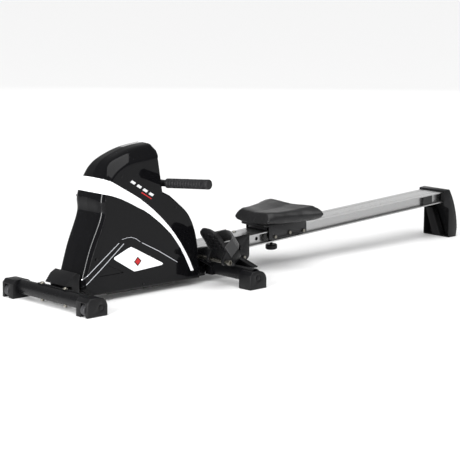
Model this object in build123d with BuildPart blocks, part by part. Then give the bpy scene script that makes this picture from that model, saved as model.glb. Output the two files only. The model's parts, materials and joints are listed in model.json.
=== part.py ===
from build123d import *
import math
import os

# A folding magnetic rowing machine. Millimetres, +Z up, standing on Z = 0. The rower faces -X, so the rower's
# left is -Y. Places along the machine are stations, measured from the axis of the front stabilizer.

# ---- driving dimensions ----
FRONT_REACH = 46.0          # front stabilizer axis to the foremost point
REAR_REACH = 2019.0         # front stabilizer axis to the back of the rear foot
CENTRE = (REAR_REACH - FRONT_REACH) / 2

TUBE_R = 25.0               # stabilizer tubes
TUBE_WALL = 2.0
FRONT_Z = 38.0
FRONT_HALF = 232.0
MID_X = 694.7
MID_Z = 45.0
MID_HALF = 270.0

RAIL_SLOPE = math.degrees(math.atan(0.0439))
RAIL_WIDTH = 109.0
RAIL_HEIGHT = 43.0
RAIL_SKIN = 4.0             # top and bottom flanges of the extrusion
CHANNEL_DEPTH = 16.0        # side channels that the seat rollers run in
RAIL_START = 812.0          # front end of the folding rail
RAIL_START_Z = 96.0         # underside of the rail there
RAIL_LENGTH = 1128.0
FIXED_RAIL_START = 520.0
FIXED_RAIL_END = 764.0

PLATE_IN = 55.0             # upright frame plates, just outside the rail
PLATE_T = 4.0
PIVOT_X, PIVOT_Z = 800.0, 104.0
PIN_R = 6.0

CASE_HALF = 75.0
CASE_WALL = 3.0

WHEEL_X, WHEEL_Z, WHEEL_R = 330.0, 185.0, 115.0     # flywheel
DRUM_X, DRUM_Z, DRUM_R = 300.0, 392.0, 32.0         # strap drum
GUIDE_X, GUIDE_Z, GUIDE_R = 385.0, 361.0, 12.0      # strap guide roller
BAR_X, BAR_Z, BAR_R = 446.0, 374.0, 12.0            # handle bar at rest

PEDAL_X, PEDAL_Z, PEDAL_TILT = 606.0, 97.0, 51.5
PEDAL_Y = 150.0

SEAT_FRONT, SEAT_REAR = 139.0, 334.0                # carriage ends, along the rail from its front end
ROLLER_R = 15.0
KNOB_AT = 208.0
LOCK_PIN_R = 5.0
SIDE_HOLE_AT, SIDE_HOLE_R = 95.0, 7.0               # cross hole near the rail's front end

FLY_AXLE_R = 6.0            # flywheel and drum axles
GUIDE_AXLE_R = 4.0
PEDAL_AXLE_R = 7.0
BOLT_R = 4.0                # stabilizer bolts, transport wheel pins and seat roller bolts

RUN_FIT = 0.05              # radial play of a turning or sliding fit
TUBE_FIT = 0.1              # radial play between a stabilizer tube and the piece pushed over it

os.makedirs("parts", exist_ok=True)


def save(part, name):
    part.label = name
    export_step(part, f"parts/{name}.step")


def st(station):
    """X of a station; the origin is at the middle of the machine's length."""
    return station - CENTRE


def side(y):
    """Plane seen from the rower's left, at this y: sketch in (x, z), extrusions run towards -Y."""
    return Plane(origin=(0, y, 0), x_dir=(1, 0, 0), z_dir=(0, -1, 0))


SLOPE = math.radians(RAIL_SLOPE)
ALONG = Vector(math.cos(SLOPE), 0, math.sin(SLOPE))
UP = Vector(-math.sin(SLOPE), 0, math.cos(SLOPE))


def rail_point(u, w=0.0, y=0.0):
    """A point u along the rail from its front end and w above its underside."""
    return Vector(st(RAIL_START), y, RAIL_START_Z) + ALONG * u + UP * w


def rail_side(y):
    return Plane(origin=rail_point(0, 0, y), x_dir=ALONG, z_dir=(0, -1, 0))


def rail_section(u):
    return Plane(origin=rail_point(u), x_dir=(0, 1, 0), z_dir=ALONG)


def rail_top(w):
    return Plane(origin=rail_point(0, w), x_dir=ALONG, z_dir=UP)


def rod(x, z, radius, y0, y1, bore=0.0):
    """A round bar or bush across the machine from y0 to y1."""
    with BuildPart() as bar:
        with BuildSketch(side(y1)):
            with Locations((x, z)):
                Circle(radius)
                if bore:
                    Circle(bore, mode=Mode.SUBTRACT)
        extrude(amount=y1 - y0)
    return bar.part


def outline(points, bulges=None):
    """A closed outline of straight runs, with an arc wherever bulges names a point to pass through."""
    bulges = bulges or {}
    for i, start in enumerate(points):
        end = points[(i + 1) % len(points)]
        if i in bulges:
            ThreePointArc(start, bulges[i], end)
        else:
            Line(start, end)


# ---- base frame ----
BEAM_Z = 36.0
BEAM_START, BEAM_END = 31.0, 663.0
BEAM_WIDTH, BEAM_HEIGHT, BEAM_WALL = 50.0, 40.0, 2.0


BOLT_Y = 62.0
BOLT_HOLE_R = BOLT_R + 0.2
FRONT_TUBE_HALF, MID_TUBE_HALF = 190.0, 250.0


def stabilizer(x, z, half, bolt_y):
    """A round tube across the machine, drilled for a pair of bolts if bolt_y is given."""
    with BuildPart() as tube:
        with BuildSketch(side(half)):
            with Locations((st(x), z)):
                Circle(TUBE_R)
                Circle(TUBE_R - TUBE_WALL, mode=Mode.SUBTRACT)
        extrude(amount=2 * half)
        if bolt_y:
            with BuildSketch(Plane.XY):
                with Locations((st(x), bolt_y), (st(x), -bolt_y)):
                    Circle(BOLT_HOLE_R)
            extrude(amount=2 * z, mode=Mode.SUBTRACT)
    return tube.part


save(stabilizer(0, FRONT_Z, FRONT_TUBE_HALF, BOLT_Y), "front_stabilizer")
save(stabilizer(MID_X, MID_Z, MID_TUBE_HALF, 0), "mid_stabilizer")

# a saddle plate, bent over the back of the front stabilizer, carries the beam
SADDLE_R, SADDLE_HALF = TUBE_R + 4, 82.0
SADDLE_TOP, SADDLE_LOW = 100.0, -40.0       # degrees round the tube
with BuildPart() as front_saddle:
    with BuildSketch(side(SADDLE_HALF)):
        with BuildLine():
            top = PolarLine((st(0), FRONT_Z), SADDLE_R, angle=SADDLE_TOP, mode=Mode.PRIVATE) @ 1
            low = PolarLine((st(0), FRONT_Z), SADDLE_R, angle=SADDLE_LOW, mode=Mode.PRIVATE) @ 1
            top_in = PolarLine((st(0), FRONT_Z), TUBE_R, angle=SADDLE_TOP, mode=Mode.PRIVATE) @ 1
            low_in = PolarLine((st(0), FRONT_Z), TUBE_R, angle=SADDLE_LOW, mode=Mode.PRIVATE) @ 1
            ThreePointArc(low, (st(SADDLE_R), FRONT_Z), top)
            Line(top, top_in)
            ThreePointArc(top_in, (st(TUBE_R), FRONT_Z), low_in)
            Line(low_in, low)
        make_face()
    extrude(amount=2 * SADDLE_HALF)
    with BuildSketch(Plane.YZ.offset(st(BEAM_START - 7))):
        with Locations((0, BEAM_Z)):
            Rectangle(60, 46)
    extrude(amount=7)
    with BuildSketch(side(SADDLE_HALF)):
        with Locations((st(0), FRONT_Z)):
            Circle(TUBE_R)
    extrude(amount=2 * SADDLE_HALF, mode=Mode.SUBTRACT)
    with BuildSketch(Plane.XY.offset(FRONT_Z)):
        with Locations((st(0), BOLT_Y), (st(0), -BOLT_Y)):
            Circle(BOLT_HOLE_R)
    extrude(amount=40, mode=Mode.SUBTRACT)

with BuildPart() as base_beam:
    with BuildSketch(Plane.YZ.offset(st(BEAM_START))):
        with Locations((0, BEAM_Z)):
            RectangleRounded(BEAM_WIDTH, BEAM_HEIGHT, 2 * BEAM_WALL)
            RectangleRounded(BEAM_WIDTH - 2 * BEAM_WALL, BEAM_HEIGHT - 2 * BEAM_WALL, BEAM_WALL,
                             mode=Mode.SUBTRACT)
    extrude(amount=BEAM_END - BEAM_START)
    add(front_saddle.part)
save(base_beam.part, "base_beam")

with BuildPart() as stabilizer_bolts:
    seat_z = FRONT_Z + SADDLE_R
    for y in (-BOLT_Y, BOLT_Y):
        with Locations((st(0), y, seat_z)):
            Cylinder(BOLT_R, seat_z - 8, align=(Align.CENTER, Align.CENTER, Align.MAX))
            Cylinder(9, 2.5, align=(Align.CENTER, Align.CENTER, Align.MIN))
        with Locations((st(0), y, seat_z + 2.5)):
            Cone(8, 4.5, 3, align=(Align.CENTER, Align.CENTER, Align.MIN))
        with BuildSketch(Plane.XY.offset(6)):
            with Locations((st(0), y)):
                RegularPolygon(7, 6)
        extrude(amount=7)

# ---- stabilizer end caps, with transport wheels in the front pair ----
SLOT_IN, SLOT_OUT = 194.0, 218.0
FRONT_WHEEL = (-26.0, 24.0)
FRONT_WHEEL_R = 20.0


def cap_profile(x, back, front, height):
    """Side view of a cap: flat sole, upright front, top rounded down to the back."""
    corners = [
        (x - front, 0), (x + back, 0), (x + back, height * 0.42), (x + back - 34, height),
        (x - front + 12, height), (x - front, height - 12),
    ]
    outline(corners, {2: (x + back - 8, height * 0.82)})


def end_cap(x, z, back, front, height, inner, outer, bore_to, mark, hand):
    """A moulded foot on one end of a stabilizer; hand is -1 on the rower's left and 1 on the right."""
    with BuildPart() as cap:
        with BuildSketch(side(hand * outer if hand > 0 else hand * inner)):
            with BuildLine():
                cap_profile(st(x), back, front, height)
            make_face()
        extrude(amount=outer - inner)
        outer_face = cap.faces().sort_by(Axis.Y)[-1 if hand > 0 else 0]
        chamfer(outer_face.edges(), 2.5)
        with BuildSketch(side(hand * bore_to if hand > 0 else hand * inner)):
            with Locations((st(x), z)):
                Circle(TUBE_R + TUBE_FIT)
        extrude(amount=bore_to - inner, mode=Mode.SUBTRACT)
        with BuildSketch(side(hand * outer if hand > 0 else hand * (outer - mark[2]))):
            with Locations((st(x + mark[0]), mark[1])):
                Circle(13)
                Circle(8, mode=Mode.SUBTRACT)
        extrude(amount=mark[2], mode=Mode.SUBTRACT)
    return cap.part


with BuildPart() as front_caps:
    for hand in (-1, 1):
        add(end_cap(0, FRONT_Z, 42, 42, 63, 170, FRONT_HALF, 190, (14, 30, 2), hand))
        with BuildSketch(side(SLOT_OUT if hand > 0 else -SLOT_IN)):
            with Locations((st(FRONT_WHEEL[0] - 2), FRONT_WHEEL[1] - 6)):
                Rectangle(50, 60)
        extrude(amount=SLOT_OUT - SLOT_IN, mode=Mode.SUBTRACT)
        low, high = sorted((hand * 190, hand * 228))
        add(rod(st(FRONT_WHEEL[0]), FRONT_WHEEL[1], BOLT_R + RUN_FIT, low, high), mode=Mode.SUBTRACT)
save(front_caps.part, "front_caps")

with BuildPart() as mid_caps:
    for hand in (-1, 1):
        add(end_cap(MID_X, MID_Z, 38, 41, 63, 210, MID_HALF, 250, (-4, 40, 2), hand))
save(mid_caps.part, "mid_caps")

for hand, name in ((-1, "left"), (1, "right")):
    low, high = sorted((hand * 196, hand * 216))
    with BuildPart() as wheel:
        with BuildSketch(side(high)):
            with Locations((st(FRONT_WHEEL[0]), FRONT_WHEEL[1])):
                Circle(FRONT_WHEEL_R)
                Circle(BOLT_R + RUN_FIT, mode=Mode.SUBTRACT)
        extrude(amount=high - low)
        rims = wheel.edges().filter_by(GeomType.CIRCLE).sort_by(SortBy.RADIUS)[-2:]
        fillet(rims, 3)
    save(wheel.part, f"transport_wheel_{name}")

# wheel pins and pedal nuts join the frame's other fasteners
with BuildPart() as frame_fasteners:
    add(stabilizer_bolts.part)
    for hand in (-1, 1):
        low, high = sorted((hand * 190.5, hand * 227.5))
        add(rod(st(FRONT_WHEEL[0]), FRONT_WHEEL[1], BOLT_R, low, high))
        low, high = sorted((hand * 206.3, hand * 216))
        with BuildSketch(side(high)):
            with Locations((st(PEDAL_X), PEDAL_Z)):
                RegularPolygon(9.5, 6)
                Circle(PEDAL_AXLE_R, mode=Mode.SUBTRACT)
        extrude(amount=high - low)
save(frame_fasteners.part, "frame_fasteners")

# ---- upright frame: mast plates inside the casing and the post plates behind it ----
MAST = [(180, 20), (470, 20), (560, 84), (560, 128), (470, 124), (400, 300), (400, 412), (340, 432), (262, 424),
        (232, 300), (180, 120)]
POST = [(572, 88), (600, 88), (664, 52), (664, 22), (726, 22), (788, 78), (806, 96), (792, 112), (768, 113),
        (768, 132), (572, 123)]


def frame_plates(points, holes, corner):
    """A matching pair of plates, one each side of the rail."""
    with BuildPart() as plates:
        for y_out in (PLATE_IN + PLATE_T, -PLATE_IN):
            with BuildSketch(side(y_out)):
                with BuildLine():
                    Polyline(*[(st(x), z) for x, z in points], close=True)
                make_face()
                fillet(vertices(), corner)
                for x, z, r in holes:
                    with Locations((st(x), z)):
                        Circle(r, mode=Mode.SUBTRACT)
            extrude(amount=PLATE_T)
    return plates.part


SPACERS = [(215, 66), (440, 66), (285, 310)]
SPACER_R = 10.0
MAST_HOLES = [(WHEEL_X, WHEEL_Z, FLY_AXLE_R), (DRUM_X, DRUM_Z, FLY_AXLE_R), (GUIDE_X, GUIDE_Z, GUIDE_AXLE_R)]
POST_HOLES = [(MID_X, MID_Z, TUBE_R + TUBE_FIT), (PEDAL_X, PEDAL_Z, PEDAL_AXLE_R), (PIVOT_X, PIVOT_Z, PIN_R)]
save(frame_plates(MAST, MAST_HOLES, 6), "mast_plates")
save(frame_plates(POST, POST_HOLES, 4), "post_plates")

with BuildPart() as cross_members:
    for x, z in SPACERS:
        add(rod(st(x), z, SPACER_R, -PLATE_IN, PLATE_IN))
    with BuildSketch(Plane.YZ.offset(st(665))):
        with Locations((0, 39)):
            Rectangle(110, 34)
    extrude(amount=4)
    with BuildSketch(side(PLATE_IN)):
        with Locations((st(MID_X), MID_Z)):
            Circle(TUBE_R + TUBE_FIT)
    extrude(amount=2 * PLATE_IN, mode=Mode.SUBTRACT)
    with BuildSketch(Plane.XY.offset(16)):
        with Locations((st(328), 0)):
            Rectangle(700, 50)
    extrude(amount=40, mode=Mode.SUBTRACT)
    with BuildSketch(side(PLATE_IN)):
        with Locations((st(740), 62)):
            Rectangle(20, 24, rotation=42)
            Rectangle(14, 18, rotation=42, mode=Mode.SUBTRACT)
    extrude(amount=2 * PLATE_IN)

    # sloping gussets from the post plates down to the ends of the rear stabilizer
    for hand in (-1, 1):
        edge = hand * (PLATE_IN + PLATE_T)
        with BuildSketch(Plane.YZ.offset(st(722))):
            with BuildLine():
                Polyline((edge, 60), (edge, 104), (hand * 206, 62), (hand * 206, 54), close=True)
            make_face()
        extrude(amount=4)
        with BuildSketch(Plane.YZ.offset(st(722))):
            with BuildLine():
                Polyline((edge, 104), (edge, 108), (hand * 208, 66), (hand * 208, 62), close=True)
            make_face()
        extrude(amount=26)
save(cross_members.part, "cross_members")


# ---- aluminium extrusion: one fixed length in front, one folding length with the seat on it ----
def rail_profile():
    """Box section with a channel down each side and two fine grooves along the top."""
    with Locations((0, RAIL_HEIGHT / 2)):
        Rectangle(RAIL_WIDTH, RAIL_HEIGHT)
        Rectangle(RAIL_WIDTH - 2 * CHANNEL_DEPTH - 6, RAIL_HEIGHT - 2 * RAIL_SKIN, mode=Mode.SUBTRACT)
    half = RAIL_WIDTH / 2
    for hand in (-1, 1):
        with Locations((hand * (half - CHANNEL_DEPTH / 2), RAIL_HEIGHT / 2)):
            Rectangle(CHANNEL_DEPTH, RAIL_HEIGHT - 2 * RAIL_SKIN, mode=Mode.SUBTRACT)
        with Locations((hand * 30, RAIL_HEIGHT)):
            Rectangle(2, 1.6, mode=Mode.SUBTRACT)


with BuildPart() as rail:
    with BuildSketch(rail_section(0)):
        rail_profile()
    extrude(amount=RAIL_LENGTH)
    with BuildSketch(rail_side(RAIL_WIDTH / 2)):
        with Locations((SIDE_HOLE_AT, RAIL_HEIGHT / 2)):
            Circle(SIDE_HOLE_R)
    extrude(amount=RAIL_WIDTH, mode=Mode.SUBTRACT)
    with BuildSketch(rail_top(-1)):
        with Locations((KNOB_AT, 0)):
            Circle(7.1)
    extrude(amount=RAIL_SKIN + 2, mode=Mode.SUBTRACT)
save(rail.part, "rail")

with BuildPart() as fixed_rail:
    with BuildSketch(rail_section(FIXED_RAIL_START - RAIL_START)):
        rail_profile()
    extrude(amount=FIXED_RAIL_END - FIXED_RAIL_START)
    add(rod(st(PEDAL_X), PEDAL_Z, PEDAL_AXLE_R, -PLATE_IN, PLATE_IN), mode=Mode.SUBTRACT)
save(fixed_rail.part, "fixed_rail")

# ---- fold hinge ----
BRACKET_IN, BRACKET_T = 59.6, 4.0
with BuildPart() as rail_bracket:
    for y_out in (BRACKET_IN + BRACKET_T, -BRACKET_IN):
        with BuildSketch(side(y_out)):
            with BuildLine():
                outline(
                    [
                        (st(772), 96), (st(804), 58), (st(826), 57), (st(846), 78), (st(846), 150),
                        (st(780), 147), (st(772), 139),
                    ],
                    {2: (st(842), 64)},
                )
            make_face()
            with Locations((st(PIVOT_X), PIVOT_Z)):
                Circle(PIN_R + RUN_FIT, mode=Mode.SUBTRACT)
        extrude(amount=BRACKET_T)
    with BuildSketch(rail_side(BRACKET_IN)):
        with Locations((25, -2.5)):
            Rectangle(18, 5)
    extrude(amount=2 * BRACKET_IN)
    for y_out in (BRACKET_IN, -RAIL_WIDTH / 2):
        with BuildSketch(rail_side(y_out)):
            with Locations((25, RAIL_HEIGHT / 2 - 2)):
                Rectangle(18, RAIL_HEIGHT)
        extrude(amount=BRACKET_IN - RAIL_WIDTH / 2)
save(rail_bracket.part, "rail_bracket")

with BuildPart() as hinge_pin:
    add(rod(st(PIVOT_X), PIVOT_Z, PIN_R, -67, 67))
    for y0, y1 in ((-71, -63.9), (63.9, 71)):
        with BuildSketch(side(y1)):
            with Locations((st(PIVOT_X), PIVOT_Z)):
                RegularPolygon(8.0, 6)
        extrude(amount=y1 - y0)
save(hinge_pin.part, "hinge_pin")

with BuildPart() as rail_fasteners:
    for u, y in ((30, 38), (30, -38), (56, 38), (56, -38)):
        with BuildSketch(rail_top(RAIL_HEIGHT)):
            with Locations((u, y)):
                Circle(7)
        extrude(amount=3.5, taper=20)
    for y_out in (-BRACKET_IN - BRACKET_T, BRACKET_IN + BRACKET_T + 5):
        with BuildSketch(side(y_out)):
            with Locations((st(819), 67)):
                RegularPolygon(6.5, 6)
        extrude(amount=5)
    # bush that the seat lock slides in
    with BuildSketch(rail_top(-14)):
        with Locations((KNOB_AT, 0)):
            Circle(7)
            Circle(LOCK_PIN_R + RUN_FIT, mode=Mode.SUBTRACT)
    extrude(amount=30)
save(rail_fasteners.part, "rail_fasteners")

with BuildPart() as rail_stops:
    for u, length, height in ((122, 14.0, 28.0), (1019, 48.0, RAIL_HEIGHT - 2 * RAIL_SKIN - 0.4)):
        for hand in (-1, 1):
            with BuildSketch(rail_side(hand * 46 + 6)):
                with Locations((u + length / 2, RAIL_HEIGHT / 2)):
                    RectangleRounded(length, height, 3)
            extrude(amount=12)
save(rail_stops.part, "rail_stops")

# ---- sprung seat lock under the rail ----
with BuildPart() as seat_lock:
    with BuildSketch(rail_top(-42)):
        with Locations((KNOB_AT, 0)):
            Circle(22)
    extrude(amount=20)
    fillet(seat_lock.edges().filter_by(GeomType.CIRCLE), 6)
    with BuildSketch(rail_top(-23)):
        with Locations((KNOB_AT, 0)):
            Circle(LOCK_PIN_R)
    extrude(amount=45)
save(seat_lock.part, "seat_lock_knob")

# ---- rear foot ----
FOOT_FRONT, FOOT_HALF, FOOT_WALL = 1968.0, 67.0, 4.0


def foot_profile(inset=0.0):
    """Side view of the foot: upright front edge, leaning and rounded back, hooded top over the rail's end."""
    front, top = st(FOOT_FRONT), 196 - inset
    hood = Line((st(1936), top - 2), (st(1966) - inset / 2, top + 1))
    back = ThreePointArc(hood @ 1, (st(2006) - inset, 112), (st(REAR_REACH) - inset, 34))
    heel = Line(back @ 1, (st(2014) - inset, inset))
    sole = Line(heel @ 1, (front, inset))
    edge = Line(sole @ 1, (front, 118))
    lip = Line(edge @ 1, (st(1936), 134))
    Line(lip @ 1, hood @ 0)


with BuildPart() as rear_foot:
    with BuildSketch(side(FOOT_HALF)):
        with BuildLine():
            foot_profile()
        make_face()
    extrude(amount=2 * FOOT_HALF)
    with BuildSketch(side(FOOT_HALF - FOOT_WALL)):
        with BuildLine():
            foot_profile(FOOT_WALL)
        make_face()
    extrude(amount=2 * (FOOT_HALF - FOOT_WALL), mode=Mode.SUBTRACT)
    with BuildSketch(Plane.YZ.offset(st(1900))):
        with Locations((0, 62)):
            Rectangle(2 * (FOOT_HALF - FOOT_WALL), 108)
    extrude(amount=90, mode=Mode.SUBTRACT)
    with BuildSketch(rail_section(RAIL_LENGTH - 60)):
        with Locations((0, RAIL_HEIGHT / 2)):
            Rectangle(RAIL_WIDTH + 0.2, RAIL_HEIGHT + 0.2)
    extrude(amount=60.1, mode=Mode.SUBTRACT)
    with BuildSketch(Plane.YZ.offset(st(FOOT_FRONT + 2))):
        with BuildLine():
            Polyline((62, 112), (26, 112), (-20, 3), (20, 3), close=True)
        make_face()
    extrude(amount=28)
    # spigot inside the end of the rail
    with BuildSketch(rail_section(RAIL_LENGTH - 40)):
        with Locations((0, RAIL_HEIGHT / 2)):
            Rectangle(70.6, RAIL_HEIGHT - 2 * RAIL_SKIN - 0.4)
    extrude(amount=52)
save(rear_foot.part, "rear_foot")

# ---- seat: carriage, rollers, board and cushion ----
CARRIAGE_HALF, CARRIAGE_T = 61.0, 3.0
SEAT_MID = (SEAT_FRONT + SEAT_REAR) / 2
with BuildPart() as carriage:
    with BuildSketch(rail_top(59)):
        with Locations((SEAT_MID, 0)):
            Rectangle(SEAT_REAR - SEAT_FRONT, 2 * CARRIAGE_HALF)
    extrude(amount=CARRIAGE_T)
    for y_out in (CARRIAGE_HALF, -CARRIAGE_HALF + CARRIAGE_T):
        with BuildSketch(rail_side(y_out)):
            with Locations((SEAT_MID, 36)):
                Rectangle(SEAT_REAR - SEAT_FRONT, 48)
        extrude(amount=CARRIAGE_T)
    for u in (SEAT_FRONT, SEAT_REAR - CARRIAGE_T):
        with BuildSketch(rail_section(u)):
            with Locations((0, 54)):
                Rectangle(96, 14)
        extrude(amount=CARRIAGE_T)

LOAD_W = RAIL_SKIN + ROLLER_R + 0.3
HOLD_W = RAIL_HEIGHT - RAIL_SKIN - ROLLER_R - 0.3
ROLLER_IN, ROLLER_OUT = 40.5, 52.5
SEAT_ROLLERS = {
    "front": (SEAT_FRONT + 29, LOAD_W), "middle": (SEAT_FRONT + 105, HOLD_W), "rear": (SEAT_FRONT + 178, LOAD_W)
}
for name, (u, w) in SEAT_ROLLERS.items():
    with BuildPart() as rollers:
        for y_out in (ROLLER_OUT, -ROLLER_IN):
            with BuildSketch(rail_side(y_out)):
                with Locations((u, w)):
                    Circle(ROLLER_R)
                    Circle(BOLT_R + RUN_FIT, mode=Mode.SUBTRACT)
            extrude(amount=ROLLER_OUT - ROLLER_IN)
        fillet(rollers.edges().filter_by(GeomType.CIRCLE).group_by(SortBy.RADIUS)[-1], 1.5)
    save(rollers.part, f"seat_rollers_{name}")

with BuildPart() as roller_bolts:
    for u, w in SEAT_ROLLERS.values():
        for hand in (-1, 1):
            low, high = sorted((hand * 39.5, hand * CARRIAGE_HALF))
            with BuildSketch(rail_side(high)):
                with Locations((u, w)):
                    Circle(BOLT_R)
            extrude(amount=high - low)
            low, high = sorted((hand * CARRIAGE_HALF, hand * (CARRIAGE_HALF + 5)))
            with BuildSketch(rail_side(high)):
                with Locations((u, w)):
                    RegularPolygon(6.5, 6)
            extrude(amount=high - low)
            low, high = sorted((hand * 52.8, hand * 58))
            with BuildSketch(rail_side(high)):
                with Locations((u, w)):
                    Circle(5.5)
            extrude(amount=high - low)
with BuildPart() as carriage_drilled:
    add(carriage.part)
    add(roller_bolts.part, mode=Mode.SUBTRACT)
save(carriage_drilled.part, "seat_carriage")
save(roller_bolts.part, "roller_bolts")

with BuildPart() as seat_board:
    with BuildSketch(rail_top(62)):
        with BuildLine():
            Polyline((114, 64), (312, 100), (312, -100), (114, -64), close=True)
        make_face()
        fillet(vertices(), 12)
    extrude(amount=8)
save(seat_board.part, "seat_board")

# the cushion tapers towards the front and is widest a little above the board
PAD_REAR, PAD_CORNER = 328.0, 26.0
PAD_LEVELS = [(70, 102, 84, 154), (88, 102, 90, 160), (118, 124, 70, 140)]  # height, front end, half widths
with BuildPart() as seat_cushion:
    for w, front, front_half, rear_half in PAD_LEVELS:
        with BuildSketch(rail_top(w)):
            with BuildLine():
                Polyline((front, front_half), (PAD_REAR, rear_half), (PAD_REAR, -rear_half),
                         (front, -front_half), close=True)
            make_face()
            fillet(vertices(), PAD_CORNER)
    loft()
save(seat_cushion.part, "seat_cushion")

# ---- pedals ----
save(rod(st(PEDAL_X), PEDAL_Z, PEDAL_AXLE_R, -210, 210), "pedal_axle")

TILT = math.radians(PEDAL_TILT)
HEEL_WARD = Vector(math.cos(TILT), 0, -math.sin(TILT))
OFF_SOLE = Vector(math.sin(TILT), 0, math.cos(TILT))
TOE = Vector(st(556), 0, 217)


def sole_plane(y):
    """The sole's surface: sketch x runs from toe to heel, and the plane faces off the sole."""
    return Plane(origin=TOE + Vector(0, y, 0), x_dir=HEEL_WARD, z_dir=OFF_SOLE)


PLATE_LENGTH, PLATE_HALF, SOLE_T = 182.0, 48.0, 9.0
HEEL_CUP, CUP_WALL, TOE_ROUND = 30.0, 5.0, 42.0
STRAP_AT, STRAP_WIDTH, STRAP_WALL = 76.0, 50.0, 3.0
STRAP_SIDE, STRAP_RISE = 30.0, 63.0
LUG_FRONT, LUG_REAR = 98.0, 156.0
LUG_T, LUG_R = 12.0, 13.0
for hand, name in ((-1, "left"), (1, "right")):
    y_mid = hand * PEDAL_Y
    with BuildPart() as footplate:
        with BuildSketch(sole_plane(y_mid)):
            with Locations((PLATE_LENGTH / 2, 0)):
                RectangleRounded(PLATE_LENGTH, 2 * PLATE_HALF, TOE_ROUND)
        extrude(amount=-SOLE_T)
        # heel cup: a curved wall round the lower end
        with BuildSketch(sole_plane(y_mid)):
            with Locations((PLATE_LENGTH / 2, 0)):
                RectangleRounded(PLATE_LENGTH, 2 * PLATE_HALF, TOE_ROUND)
                RectangleRounded(PLATE_LENGTH - 2 * CUP_WALL, 2 * (PLATE_HALF - CUP_WALL), TOE_ROUND - CUP_WALL,
                                 mode=Mode.SUBTRACT)
            with Locations((PLATE_LENGTH / 2 - 52, 0)):
                Rectangle(PLATE_LENGTH, 2 * PLATE_HALF + 2, mode=Mode.SUBTRACT)
        extrude(amount=HEEL_CUP)
        # two lugs under the sole carry the pedal on its axle
        for y in (y_mid - 38, y_mid + 38):
            with BuildSketch(side(y + LUG_T / 2)):
                with BuildLine():
                    front = TOE + HEEL_WARD * LUG_FRONT - OFF_SOLE * (SOLE_T - 1)
                    rear = TOE + HEEL_WARD * LUG_REAR - OFF_SOLE * (SOLE_T - 1)
                    Polyline((front.X, front.Z), (rear.X, rear.Z), (st(PEDAL_X) + 5, PEDAL_Z - 12),
                             (st(PEDAL_X) - 11, PEDAL_Z - 6), (st(PEDAL_X) - 12, PEDAL_Z + 6), close=True)
                make_face()
                with Locations((st(PEDAL_X), PEDAL_Z)):
                    Circle(LUG_R)
                    Circle(PEDAL_AXLE_R + 0.06, mode=Mode.SUBTRACT)
            extrude(amount=LUG_T)
    save(footplate.part, f"footplate_{name}")

    # webbing loop over the instep, buckled to the edges of the plate
    with BuildPart() as foot_strap:
        with BuildSketch(Plane(origin=TOE + HEEL_WARD * STRAP_AT + Vector(0, y_mid, 0), x_dir=(0, 1, 0),
                               z_dir=HEEL_WARD)):
            with BuildLine():
                outer, inner = PLATE_HALF + STRAP_WALL + 0.2, PLATE_HALF + 0.2
                outline([(outer, -SOLE_T), (outer, STRAP_SIDE), (-outer, STRAP_SIDE), (-outer, -SOLE_T),
                         (-inner, -SOLE_T), (-inner, STRAP_SIDE), (inner, STRAP_SIDE), (inner, -SOLE_T)],
                        {1: (0, STRAP_RISE + STRAP_WALL), 5: (0, STRAP_RISE)})
            make_face()
        extrude(amount=STRAP_WIDTH)
    save(foot_strap.part, f"foot_strap_{name}")

# ---- casing: two moulded halves over the flywheel ----
CASE_FRONT_HALF = 66.0
CROWN_HALF = 42.0
SHOULDER_Z, CROWN_Z = 430.0, 520.0
CASE_MIDDLE = (330.0, 270.0)
CASE_REACH = (265.0, 245.0)


def casing_outline(inset):
    """Side view: raked front, rounded crown, console face, handle notch and sweeping back."""
    points = [(112, 27), (593, 23), (588, 107), (573, 191), (540, 259), (488, 307), (451, 336), (420, 350),
              (412, 398), (396, 498), (380, 514), (300, 504), (224, 480), (182, 446), (158, 400), (146, 345),
              (146, 292), (100, 187), (66, 88), (70, 52)]
    bulges = {2: (583, 150), 3: (560, 227), 4: (517, 286), 11: (261, 494), 12: (201, 466)}

    def drawn_in(point):
        """The point, moved towards the middle by about the inset."""
        x, z = (m + (v - m) * (1 - inset / r) for v, m, r in zip(point, CASE_MIDDLE, CASE_REACH))
        return st(x), z

    outline([drawn_in(p) for p in points], {i: drawn_in(p) for i, p in bulges.items()})


def casing_solid(inset):
    with BuildPart() as body:
        with BuildSketch(side(CASE_HALF - inset)):
            with BuildLine():
                casing_outline(inset)
            make_face()
        extrude(amount=2 * (CASE_HALF - inset))
        # seen from the front: upright sides, then shoulders that lean in to the crown
        with BuildSketch(Plane.YZ.offset(st(0))):
            with BuildLine():
                half, crown = CASE_HALF - inset, CROWN_HALF - inset / 2
                Polyline((-half, 0), (half, 0), (half, SHOULDER_Z), (crown, CROWN_Z - inset),
                         (-crown, CROWN_Z - inset), (-half, SHOULDER_Z), close=True)
            make_face()
        extrude(amount=700, mode=Mode.INTERSECT)
        # seen from above: the nose tapers
        with BuildSketch(Plane.XY):
            with BuildLine():
                nose = CASE_FRONT_HALF - inset
                Polyline((st(50), -nose), (st(150), -half), (st(650), -half), (st(650), half), (st(150), half),
                         (st(50), nose), close=True)
            make_face()
        extrude(amount=600, mode=Mode.INTERSECT)
    return body.part


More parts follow.
